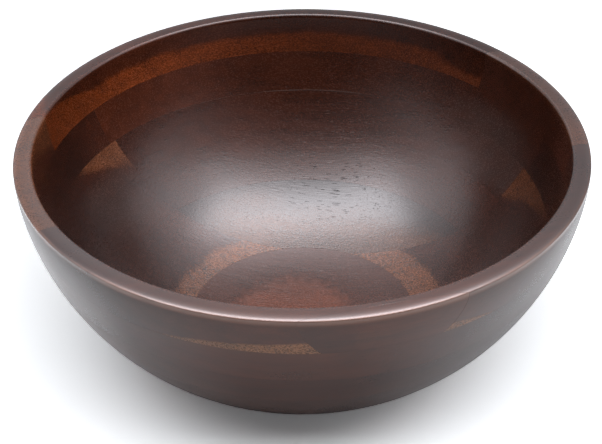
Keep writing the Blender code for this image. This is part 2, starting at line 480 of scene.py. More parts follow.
def turned(radius, angle, z):
    """Points at a radius, an angle about the axis and a height."""
    return np.stack(np.broadcast_arrays(radius * np.cos(angle), radius * np.sin(angle), z), axis=-1)


def column_count(turn):
    """Number of columns that a turn takes."""
    return max(LEAST_COLUMNS, int(np.max(turn) / COLUMN_STEP))


def shared_out(marks, counts):
    """Rows in equal steps from each row of marks to the next, as many as its count, and the last marks."""
    spans = [first + (last - first) * np.linspace(0.0, 1.0, count, endpoint=False)[:, None]
             for first, last, count in zip(marks, marks[1:], counts)]
    return np.concatenate(spans + [marks[-1:]])


def arc_board(name, outer, inner, square, begin, end):
    """Board whose ends lie on upright joints.

    Each point of the cross-section is turned about the axis from one joint to the other. It meets a joint
    at the distance d from the axis where cos(angle) = d / radius, with angles counted from the direction
    across the grain.
    """
    loop = np.concatenate([outer, inner[::-1]])
    start = begin(loop[:, 0])
    stop = end(loop[:, 0])
    along = np.linspace(0.0, 1.0, column_count(stop - start))[:, None]
    angle = square + start + (stop - start) * along
    return loop_mesh(name, turned(loop[:, 0], angle, loop[:, 1]))


def notched_board(name, outer, inner, square, begin, end, cut):
    """Front board of the rim layer: an arc board, planed flat outside at the distance cut from the axis.

    Where the outside would pass the plane, its radius is cut / cos(angle). The columns are shared out so
    that one of them falls on each edge of the flat, where cos(angle) = cut / radius.
    """
    loop = np.concatenate([outer, inner[::-1]])
    radius = loop[:, 0]
    flat = np.arccos(np.clip(cut / radius, -1.0, math.cos(LEAST_FLAT)))
    marks = np.stack([begin(radius), math.pi - flat, math.pi + flat, end(radius)])
    turn = shared_out(marks, [column_count(span) for span in np.diff(marks, axis=0)])
    reach = np.where(np.abs(turn - math.pi) < flat, cut / np.cos(turn - math.pi), radius)
    return loop_mesh(name, turned(np.minimum(radius, reach), square + turn, loop[:, 1]))


def strip_board(name, outer, square, cut):
    """Thin strip in front of the plane at distance cut: turned outside, back of radius cut / cos(angle)."""
    outer = outer[outer[:, 0] > cut + LEAST_WOOD]
    radius = outer[:, 0]
    half = STRIP_REACH * np.arccos(cut / radius)
    turn = half * np.linspace(-1.0, 1.0, column_count(2.0 * half))[:, None]
    front = turned(radius, square + math.pi + turn, outer[:, 1])
    back = turned(cut / np.cos(turn), square + math.pi + turn, outer[:, 1])
    return loop_mesh(name, np.concatenate([front, back[:, ::-1]], axis=1))


def base_board(shape, name, square, near, far):
    """Board of the base layer between two joints.

    Chords across the grain at the distance d each carry a top point and a bottom point for every place
    along them: the top follows the hollow and then the glue face, the bottom the flat foot and then the
    turned outside. The places are shared out so that the foot's edge, the hollow's edge and the rim of the
    layer each have their own, half a chord of the length sqrt(edge^2 - d^2) away.
    """
    gap = shape.glue_line / 2.0
    top = shape.height - LAYERS.index("base") * shape.layer - gap
    reach = float(outer_radius(shape, top))
    bowl = float(hollow_radius(shape, top))
    limit = reach * BASE_REACH
    bend = np.arcsin(np.array([max(near + gap, -limit), min(far - gap, limit)]) / reach)
    across = reach * np.sin(np.linspace(*bend, BASE_CHORDS))
    edges = np.array([0.0, shape.foot_radius, bowl, reach])[:, None]
    least = LEAST_WOOD * np.arange(len(edges))[:, None]
    half = shared_out(np.sqrt(np.maximum(edges ** 2 - across ** 2, least ** 2)), BASE_PLACES)
    along = np.concatenate([-half[:0:-1], half]).T
    distance = np.hypot(along, across[:, None])
    upper = np.where(distance < bowl, hollow_height(shape, distance), top)
    lower = np.minimum(outer_height(shape, distance), upper - SHARP_EDGE)
    x = along * math.sin(square) + across[:, None] * math.cos(square)
    y = -along * math.cos(square) + across[:, None] * math.sin(square)
    points = np.concatenate([np.stack([x, y, upper], -1), np.stack([x, y, lower], -1)[:, ::-1]], axis=1)
    return loop_mesh(name, points, (0.0, 1.0))


def fill_in(tree, made, inputs):
    """Give a value or a link to each input of a node that is named."""
    for key, value in inputs.items():
        if isinstance(value, bpy.types.NodeSocket):
            tree.links.new(value, made.inputs[key])
        else:
            made.inputs[key].default_value = value


def node(tree, kind, inputs=None, **settings):
    """A node with its settings, and a value or a link for each input that is named."""
    made = tree.nodes.new(kind)
    row, column = divmod(len(tree.nodes), NODES_ABREAST)
    made.location = (NODE_STEP[0] * column, NODE_STEP[1] * row)
    for key, value in settings.items():
        setattr(made, key, value)
    fill_in(tree, made, inputs or {})
    return made


def maths(tree, operation, first, second=0.0, third=0.0, clamp=False):
    """Output of a Math node."""
    inputs = {0: first, 1: second, 2: third}
    return node(tree, "ShaderNodeMath", inputs, operation=operation, use_clamp=clamp).outputs[0]


def vector_maths(tree, operation, first, second):
    """Output of a Vector Math node."""
    return node(tree, "ShaderNodeVectorMath", {0: first, 1: second}, operation=operation).outputs[0]


def ramp(tree, value, start, end, low=0.0, high=1.0):
    """Smooth step of a value from start to end."""
    inputs = {"Value": value, "From Min": start, "From Max": end, "To Min": low, "To Max": high}
    return node(tree, "ShaderNodeMapRange", inputs, interpolation_type='SMOOTHSTEP').outputs["Result"]


def between(tree, factor, first, second):
    """Two values mixed."""
    return node(tree, "ShaderNodeMix", {0: factor, 2: first, 3: second}).outputs[0]


def blend(tree, factor, first, second, how='MIX'):
    """Two colours mixed."""
    inputs = {"Factor": factor, 6: first, 7: second}
    return node(tree, "ShaderNodeMix", inputs, data_type='RGBA', blend_type=how).outputs[2]


def stretched_noise(tree, vector, scale, detail, roughness=0.5):
    """Noise with its own scale along each axis."""
    place = vector_maths(tree, 'MULTIPLY', vector, scale)
    inputs = {"Vector": place, "Scale": 1.0, "Detail": detail, "Roughness": roughness}
    return node(tree, "ShaderNodeTexNoise", inputs).outputs["Fac"]


def scattered(tree, vector, scale):
    """Spots scattered with a scale along each axis: the distance from the nearest, and its chance values."""
    place = vector_maths(tree, 'MULTIPLY', vector, scale)
    spots = node(tree, "ShaderNodeTexVoronoi", {"Vector": place, "Scale": 1.0}).outputs
    return spots["Distance"], node(tree, "ShaderNodeSeparateColor", {0: spots["Color"]}).outputs


def new_group(name, inputs, outputs):
    """An empty shader node group with named sockets, and its input node's outputs."""
    tree = bpy.data.node_groups.new(name, "ShaderNodeTree")
    for label, kind, default in inputs:
        socket = tree.interface.new_socket(label, in_out='INPUT', socket_type="NodeSocket" + kind)
        if default is not None:
            socket.default_value = default
    for label, kind in outputs:
        tree.interface.new_socket(label, in_out='OUTPUT', socket_type="NodeSocket" + kind)
    return tree, node(tree, "NodeGroupInput").outputs


def close_group(tree, values):
    """Link the group's results to its output node."""
    node(tree, "NodeGroupOutput", values)
    return tree


def place_group(tree, kind, maker, inputs):
    """Outputs of a group that is made on its first use, placed with a value or a link for its inputs.

    The inputs are given by name, or in order.
    """
    if not isinstance(inputs, dict):
        inputs = dict(enumerate(inputs))
    made = bpy.data.node_groups.get(kind) or maker()
    return node(tree, "ShaderNodeGroup", inputs, node_tree=made).outputs


def grain_group():
    """Grain that runs along X: streaks, fibres, pores, end-grain speckle, slow blotches, and raised flecks
    that carry painted glints.
    """
    tree, given = new_group("Board Grain", [("Vector", "Vector", None), ("Seed", "Float", 0.0)],
                            [("Streak", "Float"), ("Fibre", "Float"), ("Pores", "Float"),
                             ("Speckle", "Float"), ("Blotch", "Float"), ("Fleck", "Float")])
    shift = vector_maths(tree, 'MULTIPLY', given["Seed"], SEED_SHIFT)
    place = vector_maths(tree, 'ADD', given["Vector"], shift)
    wander = node(tree, "ShaderNodeTexNoise",
                  {"Vector": place, "Scale": SWAYS, "Detail": 2.0}).outputs["Color"]
    sway = vector_maths(tree, 'MULTIPLY', vector_maths(tree, 'SUBTRACT', wander, (0.5, 0.5, 0.5)), SWAY)
    wavy = vector_maths(tree, 'ADD', place, sway)
    pore, chance = scattered(tree, wavy, PORES)
    size = maths(tree, 'MULTIPLY_ADD', chance[0], *PORE_SIZE)
    pores = ramp(tree, maths(tree, 'DIVIDE', pore, size), *PORE_RANGE)
    pores = maths(tree, 'MULTIPLY', pores, ramp(tree, chance[1], *PORE_CHANCE))
    fleck, chance = scattered(tree, wavy, FLECKS)
    fleck = maths(tree, 'MULTIPLY', ramp(tree, chance[1], *FLECK_CHANCE), ramp(tree, fleck, *FLECK_RANGE))
    return close_group(tree, {
        "Streak": stretched_noise(tree, wavy, STREAKS, 3.0, 0.6),
        "Fibre": stretched_noise(tree, wavy, FIBRES, 2.0),
        "Pores": pores,
        "Speckle": ramp(tree, stretched_noise(tree, place, SPECKLES, 1.0), *SPECKLE_RANGE),
        "Blotch": stretched_noise(tree, place, BLOTCHES, 3.0, 0.55),
        "Fleck": fleck})


def sapwood_group():
    """Side of a sloping plane where the sapwood lies, with a wandering, soft boundary."""
    tree, given = new_group("Sapwood Edge", [
        ("Vector", "Vector", None), ("Level", "Float", 0.0), ("Slope Along", "Float", 0.0),
        ("Slope Across", "Float", 0.0), ("Above", "Float", 0.0), ("Softness", "Float", 0.0015),
        ("Wander", "Float", 0.0015)], [("Mask", "Float")])
    axis = node(tree, "ShaderNodeSeparateXYZ", {0: given["Vector"]}).outputs
    edge = maths(tree, 'MULTIPLY_ADD', axis["X"], given["Slope Along"], given["Level"])
    edge = maths(tree, 'MULTIPLY_ADD', axis["Y"], given["Slope Across"], edge)
    slow = maths(tree, 'SUBTRACT', stretched_noise(tree, given["Vector"], SLOW_EDGE, 1.0), 0.5)
    fine = maths(tree, 'SUBTRACT', stretched_noise(tree, given["Vector"], FINE_EDGE, 2.0), 0.5)
    edge = maths(tree, 'MULTIPLY_ADD', maths(tree, 'MULTIPLY_ADD', fine, FINE_SHARE, slow),
                 given["Wander"], edge)
    below = maths(tree, 'DIVIDE', maths(tree, 'SUBTRACT', edge, axis["Z"]), given["Softness"])
    turn = maths(tree, 'MULTIPLY_ADD', given["Above"], -2.0, 1.0)
    return close_group(tree, {"Mask": ramp(tree, maths(tree, 'MULTIPLY', below, turn), -0.5, 0.5)})


def patch_group():
    """Rounded patch about a place, fading from its middle to its edge."""
    tree, given = new_group("Stain Patch", [
        ("Vector", "Vector", None), ("Centre", "Vector", (0.0, 0.0, 0.0)),
        ("Reach", "Vector", (0.01, 0.01, 0.01)),
        ("Softness", "Float", 0.3)], [("Mask", "Float")])
    inputs = {"Vector": given["Vector"], "Scale": PATCH_EDGE, "Detail": 3.0}
    fine = node(tree, "ShaderNodeTexNoise", inputs).outputs["Fac"]
    away = vector_maths(tree, 'DIVIDE', vector_maths(tree, 'SUBTRACT', given["Vector"], given["Centre"]),
                        given["Reach"])
    size = node(tree, "ShaderNodeVectorMath", {0: away}, operation='LENGTH').outputs["Value"]
    size = maths(tree, 'MULTIPLY_ADD', maths(tree, 'SUBTRACT', fine, 0.5), PATCH_SHARE, size)
    start = maths(tree, 'ADD', 1.0, given["Softness"])
    end = maths(tree, 'SUBTRACT', 1.0, given["Softness"])
    return close_group(tree, {"Mask": ramp(tree, size, start, end)})


def spot_group():
    """Soft spot: level times e^-(|right / reach|^sharpness + |back / reach|^sharpness) about its middle."""
    tree, given = new_group("Soft Spot", [
        ("Vector", "Vector", None), ("Right", "Float", 0.0), ("Back", "Float", 0.0),
        ("Reach Right", "Float", 1.0), ("Reach Back", "Float", 1.0), ("Sharpness", "Float", 2.0),
        ("Level", "Float", 1.0)], [("Light", "Float")])
    axis = node(tree, "ShaderNodeSeparateXYZ", {0: given["Vector"]}).outputs
    fall = 0.0
    for way, middle in (("X", "Right"), ("Y", "Back")):
        away = maths(tree, 'DIVIDE', maths(tree, 'SUBTRACT', axis[way], given[middle]),
                     given["Reach " + middle])
        fall = maths(tree, 'ADD', fall,
                     maths(tree, 'POWER', maths(tree, 'ABSOLUTE', away), given["Sharpness"]))
    light = maths(tree, 'EXPONENT', maths(tree, 'MULTIPLY', fall, -1.0))
    return close_group(tree, {"Light": maths(tree, 'MULTIPLY', light, given["Level"])})


def stain_group():
    """Stained board: heartwood and sapwood with their grain, as colour, roughness, lacquer and height.

    Tone scales the whole board and Wear lays bare wood over its edge.
    """
    tree, given = new_group("Stained Board", [
        ("Heartwood", "Color", (0.07, 0.02, 0.01, 1.0)), ("Sapwood", "Color", (0.20, 0.05, 0.02, 1.0)),
        ("Sapwood Mask", "Float", 0.0), ("Worn", "Color", (0.26, 0.11, 0.06, 1.0)), ("Wear", "Float", 0.0),
        ("Tone", "Float", 1.0), ("Streak", "Float", 0.5), ("Fibre", "Float", 0.5), ("Pores", "Float", 0.0),
        ("Speckle", "Float", 0.5), ("Blotch", "Float", 0.5), ("Fleck", "Float", 0.0),
        ("Speckling", "Float", 0.3), ("Streaking", "Float", 1.1), ("Roughness", "Float", 0.3),
        ("Lacquer", "Float", 0.2), ("Outside", "Float", 0.0), ("Outside Roughness", "Float", 0.3),
        ("Outside Lacquer", "Float", 0.1), ("Outside Tone", "Float", 0.75)],
        [("Color", "Color"), ("Roughness", "Float"), ("Coat", "Float"), ("Height", "Float")])

    def vary(value, pattern, amount):
        """A value changed by a pattern about the pattern's mean."""
        return maths(tree, 'MULTIPLY_ADD', maths(tree, 'SUBTRACT', pattern, 0.5), amount, value)

    def by_side(label):
        """A value in the hollow, and its like on the outside."""
        return between(tree, given["Outside"], given[label], given["Outside " + label])

    sapwood = given["Sapwood Mask"]
    filled = maths(tree, 'MULTIPLY', given["Outside"], maths(tree, 'SUBTRACT', 1.0, sapwood, clamp=True))
    unfilled = maths(tree, 'MULTIPLY_ADD', filled, FILLING, 1.0)
    pores = maths(tree, 'MULTIPLY', given["Pores"], unfilled)

    tone = vary(1.0, given["Streak"], given["Streaking"])
    tone = vary(tone, given["Blotch"], TONE_BY["blotch"])
    tone = vary(tone, given["Fibre"], TONE_BY["fibre"])
    grit = maths(tree, 'MULTIPLY', maths(tree, 'SUBTRACT', given["Speckle"], 0.5), given["Speckling"])
    grit = maths(tree, 'MULTIPLY', grit, unfilled)
    coarse = maths(tree, 'MULTIPLY_ADD', sapwood, TONE_BY["sapwood speckle"], 1.0)
    tone = maths(tree, 'MULTIPLY_ADD', grit, coarse, tone)
    tone = maths(tree, 'MULTIPLY', tone, maths(tree, 'MULTIPLY_ADD', pores, TONE_BY["pores"], 1.0))
    tone = maths(tree, 'MULTIPLY', tone, given["Tone"])
    tone = maths(tree, 'MULTIPLY', tone, between(tree, given["Outside"], 1.0, given["Outside Tone"]))
    wood = blend(tree, sapwood, given["Heartwood"], given["Sapwood"])
    grey = node(tree, "ShaderNodeCombineColor", {0: tone, 1: tone, 2: tone}).outputs[0]
    wood = blend(tree, 1.0, wood, grey, 'MULTIPLY')
    wood = blend(tree, given["Wear"], wood, given["Worn"])
    # Painted glints: a pale colour on the raised flecks and along a proud top edge stands in for the light
    # they catch
    wood = blend(tree, given["Fleck"], wood, PAINTED_GLINT)

    rough = vary(by_side("Roughness"), given["Blotch"], ROUGHNESS_BY["blotch"])
    rough = maths(tree, 'MULTIPLY_ADD', pores, ROUGHNESS_BY["pores"], rough)
    sparkle = maths(tree, 'ADD', given["Speckle"], given["Fibre"])
    sparkle = maths(tree, 'MULTIPLY', maths(tree, 'SUBTRACT', sparkle, 1.0), unfilled)
    rough = maths(tree, 'MULTIPLY_ADD', sparkle, ROUGHNESS_BY["sparkle"], rough)

    coat = maths(tree, 'MULTIPLY', by_side("Lacquer"),
                 maths(tree, 'MULTIPLY_ADD', pores, LACQUER_BY_PORES, 1.0))

    height = maths(tree, 'MULTIPLY', given["Fibre"], HEIGHT_BY["fibre"])
    height = maths(tree, 'MULTIPLY_ADD', pores, HEIGHT_BY["pores"], height)
    height = maths(tree, 'MULTIPLY_ADD', given["Streak"], HEIGHT_BY["streak"], height)
    sand = maths(tree, 'MULTIPLY', given["Speckle"], sapwood)
    height = maths(tree, 'MULTIPLY_ADD', sand, HEIGHT_BY["sapwood speckle"], height)
    height = maths(tree, 'MULTIPLY', height, unfilled)
    return close_group(tree, {"Color": wood, "Roughness": rough, "Coat": coat, "Height": height})


def rim_edge_group():
    """Changes over the rim's rounded edge by its height: worn line, lacquer, and tone of the upper face,
    partly the wood's colour and partly painted light.
    """
    tree, given = new_group("Rim Edge", [
        ("Height", "Float", 0.0), ("Outside", "Float", 0.0), ("Blotch", "Float", 0.5), ("Wear", "Float", 0.0),
        ("Outer Tone", "Float", 1.0), ("Inner Tone", "Float", 1.0), ("Lacquer", "Float", 0.2),
        ("Rim Lacquer", "Float", 0.35), ("Edge Lacquer", "Float", 0.9), ("Outside Lacquer", "Float", 0.1)],
        [("Wear", "Float"), ("Tone", "Float"), ("Lacquer", "Float"), ("Outside Lacquer", "Float")])
    height = given["Height"]
    worn = maths(tree, 'MULTIPLY', ramp(tree, height, *WORN_FROM), ramp(tree, height, *WORN_TO))
    worn = maths(tree, 'MULTIPLY', worn, given["Outside"])
    worn = maths(tree, 'MULTIPLY', worn, ramp(tree, given["Blotch"], *WORN_BLOTCH))
    worn = maths(tree, 'MULTIPLY', worn, given["Wear"])
    # The upper face's tone is partly the wood's colour and partly painted light over the rounded crown
    face = ramp(tree, height, *UPPER_FACE, given["Outer Tone"], given["Inner Tone"])
    tone = maths(tree, 'MULTIPLY_ADD', maths(tree, 'SUBTRACT', face, 1.0), ramp(tree, height, *RIM_TOP), 1.0)
    lacquer = ramp(tree, height, *RIM_TOP, given["Lacquer"], given["Rim Lacquer"])
    coated = maths(tree, 'MINIMUM',
                   ramp(tree, height, *COATED_FROM, given["Outside Lacquer"], given["Edge Lacquer"]),
                   ramp(tree, height, *COATED_TO, given["Edge Lacquer"], given["Rim Lacquer"]))
    return close_group(tree, {"Wear": worn, "Tone": tone, "Lacquer": lacquer, "Outside Lacquer": coated})


def painted_sheen_group():
    """Painted sheen: a faint grey added to a colour in the hollow, faded in from a start to an end at three
    places.
    """
    limits = ("1", "2", "3")
    tree, given = new_group("Grey Haze", [
        ("Color", "Color", (0.0, 0.0, 0.0, 1.0)), ("Outside", "Float", 0.0), ("Amount", "Float", 0.0),
        *((label + limit, "Float", default) for limit in limits
          for label, default in (("Place ", 0.0), ("Start ", 0.0), ("End ", 1.0)))], [("Color", "Color")])
    # The grey added here is painted sheen, standing in for gloss on the side walls of the hollow
    haze = ramp(tree, given["Outside"], 0.0, 1.0, given["Amount"], 0.0)
    for limit in limits:
        fade = ramp(tree, given["Place " + limit], given["Start " + limit], given["End " + limit])
        haze = maths(tree, 'MULTIPLY', haze, fade)
    return close_group(tree, {"Color": vector_maths(tree, 'ADD', given["Color"], haze)})


# Looks of the boards. Heights are below the rim, x runs along the grain and y across it towards the back.
# heart and sap: the finish's colours of the two kinds of wood; deep: how dark the heartwood is
# tones: places along x, or along y in left and right boards, and the tone there, from measures of the photo
# fall: the tone at the board's foot
# edges: level, slope along, slope across, above, softness and wander of a boundary of the sapwood
# limits: the same, for a boundary that the sapwood doesn't pass
# share: how much of the sapwood's colour the stain leaves
# dark and pale: centre, reach and softness of patches of heartwood or sapwood, and a pale patch's strength
# flecked and open: centre, reach and softness of a patch of raised grain with painted glints, or of open
# pores
# speckling and streaking: strength of the speckle and of the streaks; gloss: reflection of the bare wood
# wear: how much wood shows along the outer edge of the rim
# top: tone of the rim's upper face, outer and inner side, partly the wood's colour and partly painted light
# glue: middle and reach of a highlight painted along the board's proud top edge
# haze: amount of a painted grey sheen in the hollow, and the axis, start and end of each of its three limits
PLAIN = dict(
    sap="sap", deep=1.0, share=1.0, speckling=0.3, streaking=1.1, gloss=0.5, top=(1.0, 1.0),
    tones=((-0.1, 1.0), (0.1, 1.0)), edges=(), limits=(), pale=(), dark=())
BOARDS = {
    "rim_back": dict(
        heart="heart_red", sap="sap", speckling=0.55, wear=0.25, gloss=0.30,
        tones=((-0.130, 0.60), (-0.095, 0.85), (-0.078, 1.05), (-0.047, 0.93), (-0.016, 0.74), (0.015, 0.54),
               (0.047, 0.40), (0.078, 0.42), (0.115, 0.46)),
        edges=((-0.0110, 0.0, 0.0, 0, 0.004, 0.003), (-0.0441, -0.36, 0.0, 0, 0.002, 0.002)),
        dark=(((0.119, 0.075, -0.0085), (0.015, 0.05, 0.0085), 0.25),)),
    "rim_left": dict(
        heart="heart", sap="sap_dull", speckling=0.5, wear=0.35, top=(1.75, 1.2),
        tones=((-0.04, 0.6), (0.0, 0.75), (0.06, 1.0)),
        edges=((0.005, 0.0, -0.35, 1, 0.010, 0.004), (-0.0028, 0.0, 0.0, 1, 0.002, 0.001)), share=0.7),
    "rim_right": dict(
        heart="heart", sap="sap_dull", wear=0.35, top=(0.9, 0.8),
        tones=((-0.04, 2.0), (-0.01, 1.0), (0.03, 0.85), (0.06, 0.9)),
        edges=((-0.002, 0.0, 0.0, 1, 0.006, 0.003),), share=0.4),
    "rim_front": dict(
        heart="heart_red", sap="sap_tan", speckling=0.6, wear=0.5,
        tones=((-0.131, 0.30), (-0.1025, 0.60), (-0.061, 0.95), (-0.0375, 1.05), (-0.0126, 1.00),
               (0.0375, 0.90), (0.061, 0.70), (0.083, 0.55), (0.1025, 0.40), (0.131, 0.35)),
        edges=((-0.0424, 0.0, -0.19, 0),), limits=((-0.0419, -0.09, -0.19, 0),)),
    "rim_edge": dict(
        heart="heart_red", sap="sap_dull", wear=0.5,
        tones=((-0.045, 0.80), (-0.028, 0.74), (-0.018, 0.82), (-0.008, 0.96), (0.010, 0.94), (0.030, 1.00),
               (0.045, 0.95)),
        # Two faint paler patches on the strip's outside, lightened through the sapwood mask
        pale=(((-0.0100, -0.1485, -0.0150), (0.0050, 0.02, 0.0070), 0.12, 0.12),
              ((-0.0015, -0.1485, -0.0165), (0.0045, 0.02, 0.0070), 0.12, 0.08))),
    "second_back": dict(
        heart="heart_red",
        haze=(0.019, ("X", 0.060, 0.095), ("X", 0.124, 0.102), ("Z", -0.022, -0.036)),
        tones=((-0.130, 1.15), (-0.095, 1.20), (-0.078, 1.10), (-0.060, 0.76), (-0.047, 0.66), (-0.016, 0.64),
               (0.016, 0.57), (0.047, 0.52), (0.079, 0.56), (0.110, 0.36))),
    "second_left": dict(heart="heart", tones=((-0.03, 0.5), (0.013, 0.6), (0.03, 0.72), (0.05, 1.75))),
    "second_right": dict(heart="heart", tones=((-0.05, 0.5), (0.06, 0.42))),
    "second_front": dict(
        heart="heart_red",
        tones=((-0.12, 0.30), (-0.075, 0.50), (-0.035, 0.90), (0.0, 1.20), (0.06, 1.05), (0.09, 0.60),
               (0.12, 0.35))),
    "third_back": dict(
        heart="heart_red", glue=(-0.012, 0.036), speckling=0.15,
        haze=(0.018, ("X", 0.065, 0.095), ("X", 0.130, 0.106), ("Z", -0.069, -0.058)),
        tones=((-0.120, 0.52), (-0.072, 0.78), (-0.043, 0.62), (-0.015, 0.57), (0.014, 0.50), (0.043, 0.62),
               (0.072, 0.56), (0.100, 0.46)),
        flecked=((0.012, 0.120, -0.062), (0.028, 0.05, 0.011), 0.5)),
    "third_left": dict(
        heart="heart", sap="sap_dull", speckling=0.7,
        edges=((-0.035, 0.0, -0.40, 1, 0.006, 0.004),), share=0.75,
        haze=(0.024, ("Z", -0.050, -0.062), ("Y", 0.063, 0.044), ("Y", 0.000, 0.028)),
        tones=((-0.03, 0.53), (0.002, 0.74), (0.018, 0.9), (0.035, 1.3), (0.055, 1.45))),
    "third_right": dict(
        heart="heart", sap="sap_dull", speckling=0.7,
        edges=((-0.0384, 0.0, -0.402, 1, 0.004, 0.004),), share=0.6,
        tones=((0.0, 0.65), (0.037, 0.70), (0.058, 0.95))),
    "third_front": dict(
        heart="heart_red",
        tones=((-0.12, 0.30), (-0.06, 0.74), (-0.02, 1.00), (0.03, 0.80), (0.06, 0.64), (0.10, 0.35))),
    "fourth_back": dict(
        heart="heart_red", speckling=0.12, fall=0.6,
        tones=((-0.100, 0.38), (-0.069, 0.82), (-0.046, 0.70), (-0.023, 0.56), (0.0, 0.54), (0.023, 0.52),
               (0.046, 0.62), (0.068, 0.70), (0.090, 0.52)),
        flecked=((0.014, 0.110, -0.068), (0.026, 0.05, 0.006), 0.5),
        open=((0.008, 0.10, -0.084), (0.026, 0.06, 0.009), 0.5)),
    "fourth_left": dict(
        heart="heart", haze=(0.023, ("Y", 0.000, 0.028), ("Y", 0.060, 0.038), ("Z", -0.090, -0.070)),
        tones=((-0.03, 0.55), (0.008, 0.67), (0.037, 0.95), (0.055, 1.1))),
    "fourth_right": dict(heart="heart", tones=((-0.03, 0.6), (0.055, 0.9))),
    "fourth_front": dict(
        heart="heart_red",
        tones=((-0.12, 0.40), (-0.03, 0.68), (0.0, 0.78), (0.05, 0.58), (0.10, 0.32))),
    "fifth_back": dict(
        heart="heart", sap="sap_dull", deep=0.45, speckling=0.5,
        tones=((-0.075, 1.00), (-0.054, 0.72), (-0.036, 0.52), (-0.018, 0.38), (0.0, 0.28), (0.018, 0.33),
               (0.036, 0.42), (0.054, 0.58), (0.071, 0.95)),
        edges=((-0.1010, 0.05, 0.0, 0, 0.011, 0.004),), share=0.85,
        pale=(((-0.046, 0.08, -0.098), (0.020, 0.05, 0.007), 0.6, 0.25),),
        open=((0.008, 0.09, -0.092), (0.026, 0.06, 0.009), 0.5)),
    "fifth_left": dict(
        heart="heart", sap="sap_dull", tones=((-0.03, 0.65), (0.02, 0.78), (0.06, 0.95)), speckling=0.9,
        edges=((-0.1060, 0.0, 0.0, 0, 0.0020, 0.003),)),
    "fifth_right": dict(
        heart="heart", sap="sap_dull", tones=((-0.03, 0.82), (0.06, 0.98)), speckling=0.9, share=0.85,
        edges=((-0.1043, 0.0, 0.0, 0, 0.0015, 0.003),)),
    "fifth_front": dict(
        heart="heart", sap="sap_dull", speckling=0.9, share=0.6,
        edges=((-0.1040, 0.0, 0.0, 0, 0.0015, 0.003),)),
    "base_back": dict(heart="heart_red", tones=((-0.06, 0.7), (0.06, 0.7))),
    "base_centre": dict(
        heart="heart_red", sap="sap", speckling=0.15, streaking=0.5,
        tones=((-0.06, 0.72), (0.0, 0.68), (0.06, 0.58)),
        pale=(((-0.006, 0.0, -0.116), (0.033, 0.036, 0.05), 0.18, 0.95),)),
    "base_front": dict(heart="heart_red", tones=((-0.06, 0.7), (0.06, 0.7))),
}


def sapwood_mask(tree, look, place):
    """Where a board is sapwood: its boundaries together, within its limits, its pale and dark patches."""

    def part(kind, maker, values):
        return place_group(tree, kind, maker, (place, *values))["Mask"]

    mask = 0.0
    for edge in look["edges"]:
        mask = maths(tree, 'MAXIMUM', mask, part("Sapwood Edge", sapwood_group, edge))
    for edge in look["limits"]:
        mask = maths(tree, 'MINIMUM', mask, part("Sapwood Edge", sapwood_group, edge))
    if look["edges"]:
        mask = maths(tree, 'MULTIPLY', mask, look["share"])
    for *patch, strength in look["pale"]:
        mask = maths(tree, 'MULTIPLY_ADD', part("Stain Patch", patch_group, patch), strength, mask)
    for patch in look["dark"]:
        mask = maths(tree, 'MULTIPLY', mask,
                     maths(tree, 'SUBTRACT', 1.0, part("Stain Patch", patch_group, patch)))
    return mask


def board_tone(tree, tones, coordinate):
    """Slow change of a board's tone: a spline through its tones, read along the span about the middle."""
    made = node(tree, "ShaderNodeValToRGB",
                {0: maths(tree, 'MULTIPLY_ADD', coordinate, 1.0 / TONE_SPAN, 0.5)})
    made.color_ramp.interpolation = 'B_SPLINE'
    stops = made.color_ramp.elements
    for spot, (place, tone) in enumerate(tones):
        stop = stops[spot] if spot < 2 else stops.new(1.0)
        stop.position = place / TONE_SPAN + 0.5
        stop.color = (*[tone / TONE_LIMIT] * 3, 1.0)
    return maths(tree, 'MULTIPLY', made.outputs["Color"], TONE_LIMIT)


def painted_glints(tree, look, place, axis, top, glint_spots):
    """Painted glints on a board: on the raised grain in its flecked patch, and a highlight painted along its
    proud top edge.
    """
    marks = 0.0
    if "flecked" in look:
        patch = place_group(tree, "Stain Patch", patch_group, (place, *look["flecked"]))["Mask"]
        marks = maths(tree, 'MULTIPLY', glint_spots, maths(tree, 'MULTIPLY', patch, FLECK_STRENGTH))
    # A pale line painted along the board's proud top edge stands in for the highlight on that edge
    if "glue" in look:
        middle, reach = look["glue"]
        line = ramp(tree, axis["Z"], *(top - depth for depth in EDGE_GLINT_DEPTH))
        away = maths(tree, 'ABSOLUTE', maths(tree, 'SUBTRACT', axis["X"], middle))
        line = maths(tree, 'MULTIPLY', line, ramp(tree, away, reach, 0.5 * reach))
        marks = maths(tree, 'MULTIPLY_ADD', line, EDGE_GLINT_STRENGTH, marks)
    return marks


